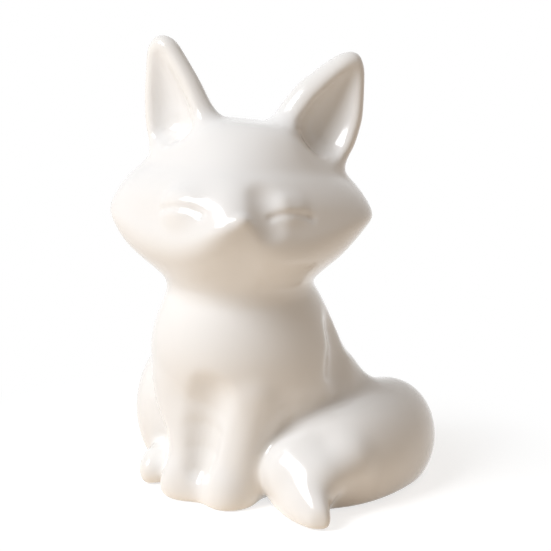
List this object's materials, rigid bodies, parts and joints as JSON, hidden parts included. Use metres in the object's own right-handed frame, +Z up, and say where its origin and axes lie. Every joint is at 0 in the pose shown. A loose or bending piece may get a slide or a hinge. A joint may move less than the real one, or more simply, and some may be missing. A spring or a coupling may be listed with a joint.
{
  "type": "fox figurine",
  "caption": "White glazed ceramic figurine of a seated fox with closed eyes, its head turned and its thick tail laid along one side.",
  "frame": {"origin": "on the surface the figurine stands on, under its neck, on the flat underside of the base disc", "axes": "+Z up, -Y the way the body faces, +X to the fox's left, where the tail lies"},
  "size_m": [0.0939, 0.0895, 0.1403],
  "materials": {
    "white_glaze": "gloss",
    "bare_ceramic": "matte"
  },
  "bodies": {
    "root": {"torso_shell": "white_glaze", "head_shell": "white_glaze", "left_ear": "white_glaze", "right_ear": "white_glaze", "left_foreleg": "white_glaze", "right_foreleg": "white_glaze", "left_hind_leg": "white_glaze", "right_hind_leg": "white_glaze", "tail_shell": "white_glaze", "base_disc": "bare_ceramic"}
  },
  "joints": []
}
